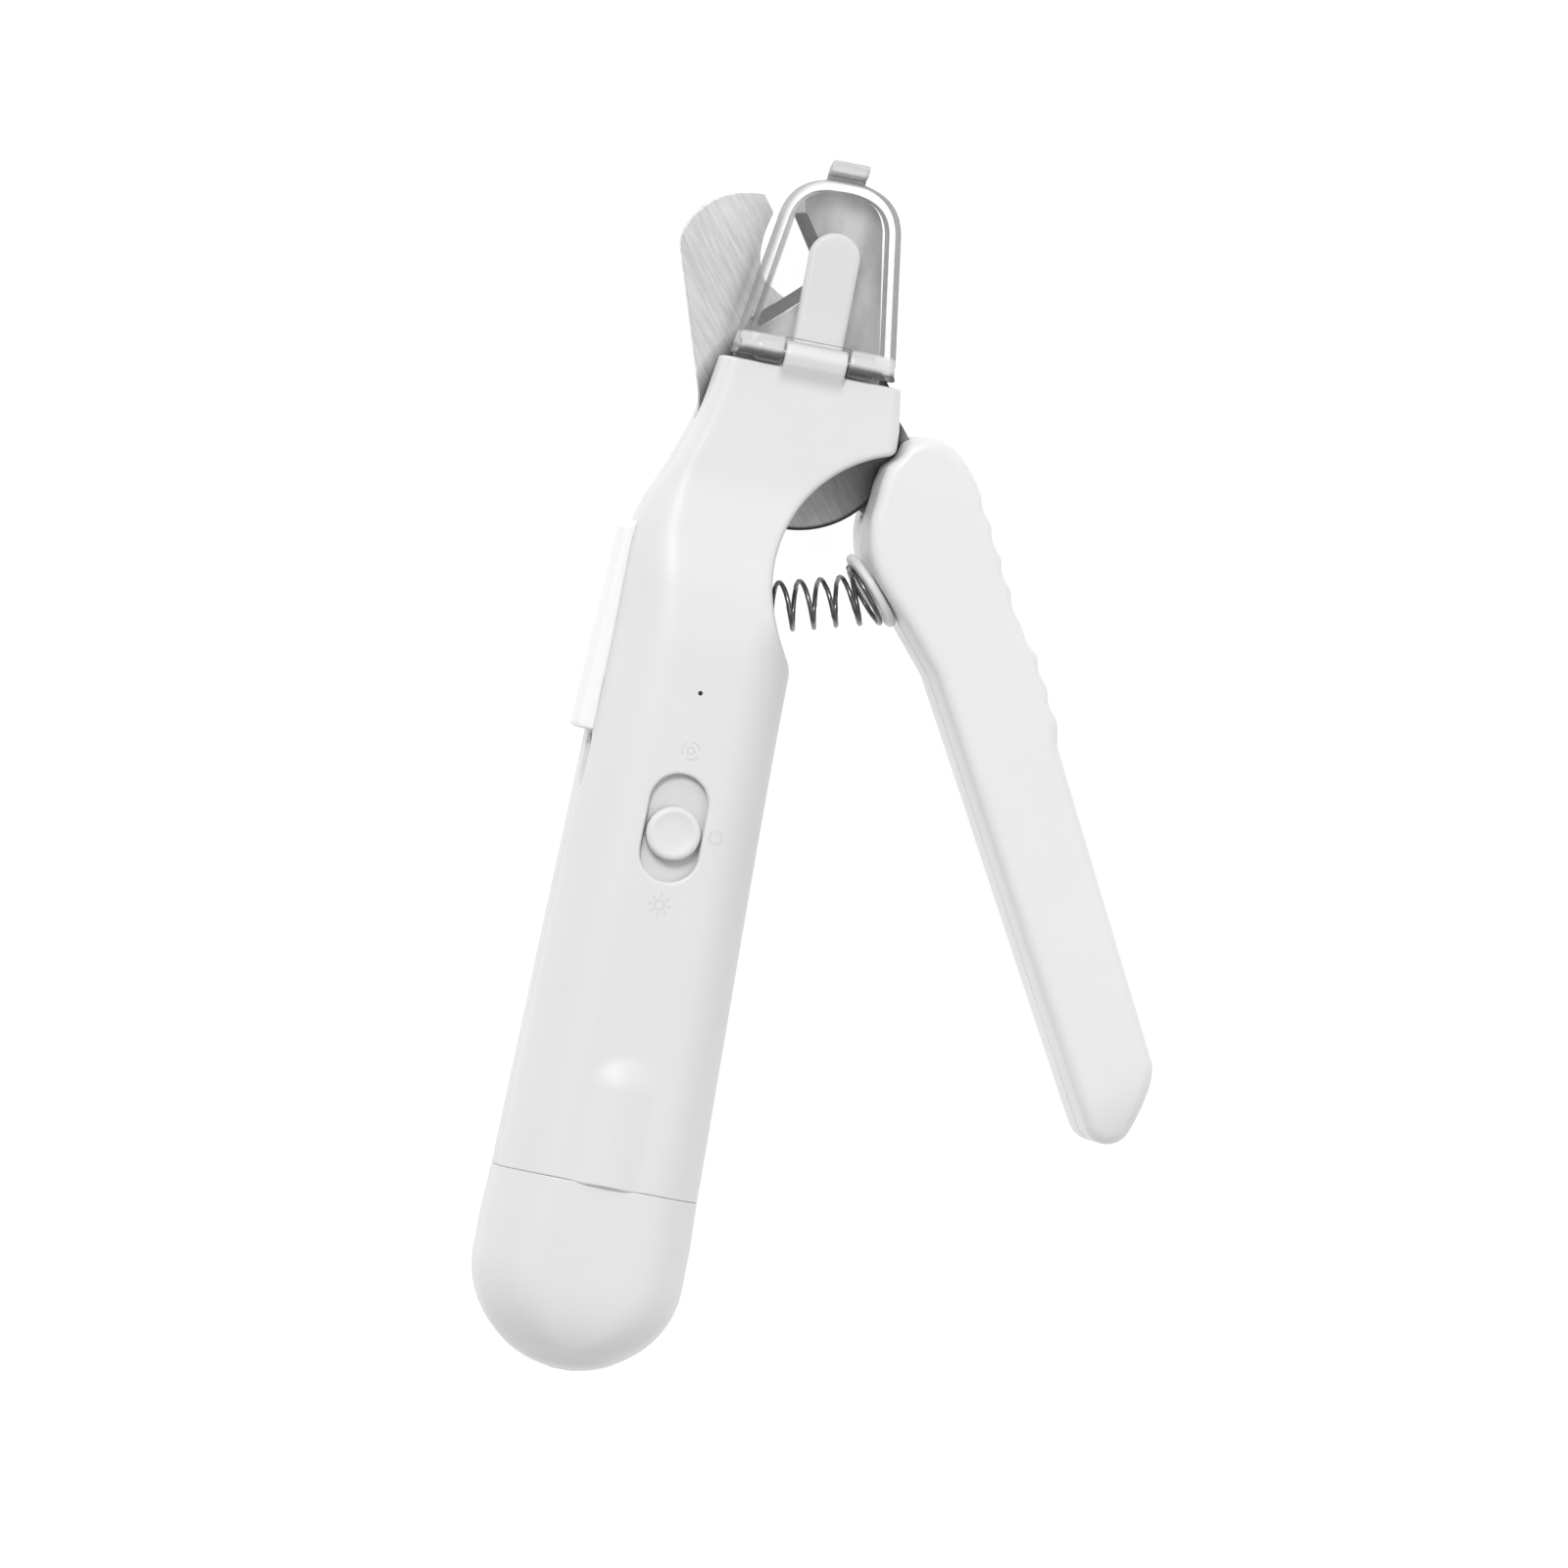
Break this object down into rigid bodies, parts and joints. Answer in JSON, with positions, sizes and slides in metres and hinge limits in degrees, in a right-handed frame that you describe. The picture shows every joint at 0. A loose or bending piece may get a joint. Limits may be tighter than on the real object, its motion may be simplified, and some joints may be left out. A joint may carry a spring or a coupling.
{
  "type": "electric pet nail clipper and grinder",
  "caption": "Handle with a hinged squeeze lever, scissor blades under a clear flip-up cover, a lamp and a capped motor grinder.",
  "frame": {"origin": "middle of the flat on the back of the handle, which the tool lies on", "axes": "+Y along the handle towards the blades, +Z out of the front face, +X towards the lever"},
  "size_m": [0.0812, 0.1587, 0.0215],
  "materials": {
    "white_plastic": "white ABS, satin",
    "soft_white": "bright white, matte",
    "clear_plastic": "clear polished plastic",
    "frosted_plastic": "frosted light guide",
    "blade_steel": "ground stainless steel",
    "bright_steel": "plated steel",
    "spring_steel": "drawn spring wire",
    "dark_steel": "magnet and laminated steel",
    "brass": "sintered bush",
    "grit": "bonded abrasive",
    "board": "green circuit board",
    "cell_wrap": "blue shrink wrap",
    "black_plastic": "black insulation and nylon",
    "red_plastic": "red insulation",
    "lamp": "lamp body"
  },
  "bodies": {
    "handle": {"front_shell": "white_plastic", "rear_shell": "white_plastic", "side_grip": "soft_white", "battery_cell": "cell_wrap", "main_board": "board", "slide_switch": "bright_steel", "charging_socket": "bright_steel", "charge_indicator": "lamp", "motor_can": "bright_steel", "motor_magnet": "dark_steel", "motor_end_cap": "black_plastic", "motor_bush": "brass", "grinder_collar": "white_plastic", "body_screw_1": "bright_steel", "body_screw_2": "bright_steel", "body_screw_3": "bright_steel", "body_screw_4": "bright_steel", "battery_lead_red": "red_plastic", "battery_lead_black": "black_plastic", "motor_lead_red": "red_plastic", "motor_lead_black": "black_plastic", "fixed_blade": "blade_steel", "pivot_pin": "bright_steel", "pivot_washer": "bright_steel", "blade_screw_1": "bright_steel", "blade_screw_2": "bright_steel", "light_guide": "frosted_plastic", "lamp_board": "board", "lamp": "lamp", "hinge_pin": "bright_steel", "return_spring": "spring_steel", "lamp_lead_red": "red_plastic", "lamp_lead_black": "black_plastic"},
    "lever": {"moving_blade": "blade_steel", "lever_front_shell": "white_plastic", "lever_rear_shell": "white_plastic", "spring_cup": "white_plastic", "lever_screw_1": "bright_steel", "lever_screw_2": "bright_steel", "lever_screw_3": "bright_steel"},
    "cover": {"clear_cover": "clear_plastic"},
    "slider": {"switch_button": "white_plastic", "switch_plate": "white_plastic"},
    "cap": {"tail_cap": "white_plastic"},
    "spindle": {"motor_shaft": "bright_steel", "motor_rotor": "dark_steel", "grinding_drum": "soft_white", "grit_sleeve": "grit"}
  },
  "joints": [
    {"name": "lever_squeeze", "type": "hinge", "parent": "handle", "child": "lever", "pos_m": [0.0074, 0.065, 0.0092], "axis": [0, 0, -1], "range_deg": [0, 20], "stiffness_Nm_per_rad": 0.9, "springref_deg": -17.19, "deforming": ["return_spring"]},
    {"name": "cover_flip", "type": "hinge", "parent": "handle", "child": "cover", "pos_m": [0.0074, 0.0743, 0.018], "axis": [1, 0, 0], "range_deg": [0, 110]},
    {"name": "switch_slide", "type": "slide", "parent": "handle", "child": "slider", "axis": [0, 1, 0], "range_m": [-0.0026, 0.0036]},
    {"name": "cap_pull", "type": "slide", "parent": "handle", "child": "cap", "axis": [0, -1, 0], "range_m": [0, 0.03]},
    {"name": "grinder_spin", "type": "hinge", "parent": "handle", "child": "spindle", "pos_m": [0, -0.045, 0.0103], "axis": [0, 1, 0], "continuous": true}
  ]
}
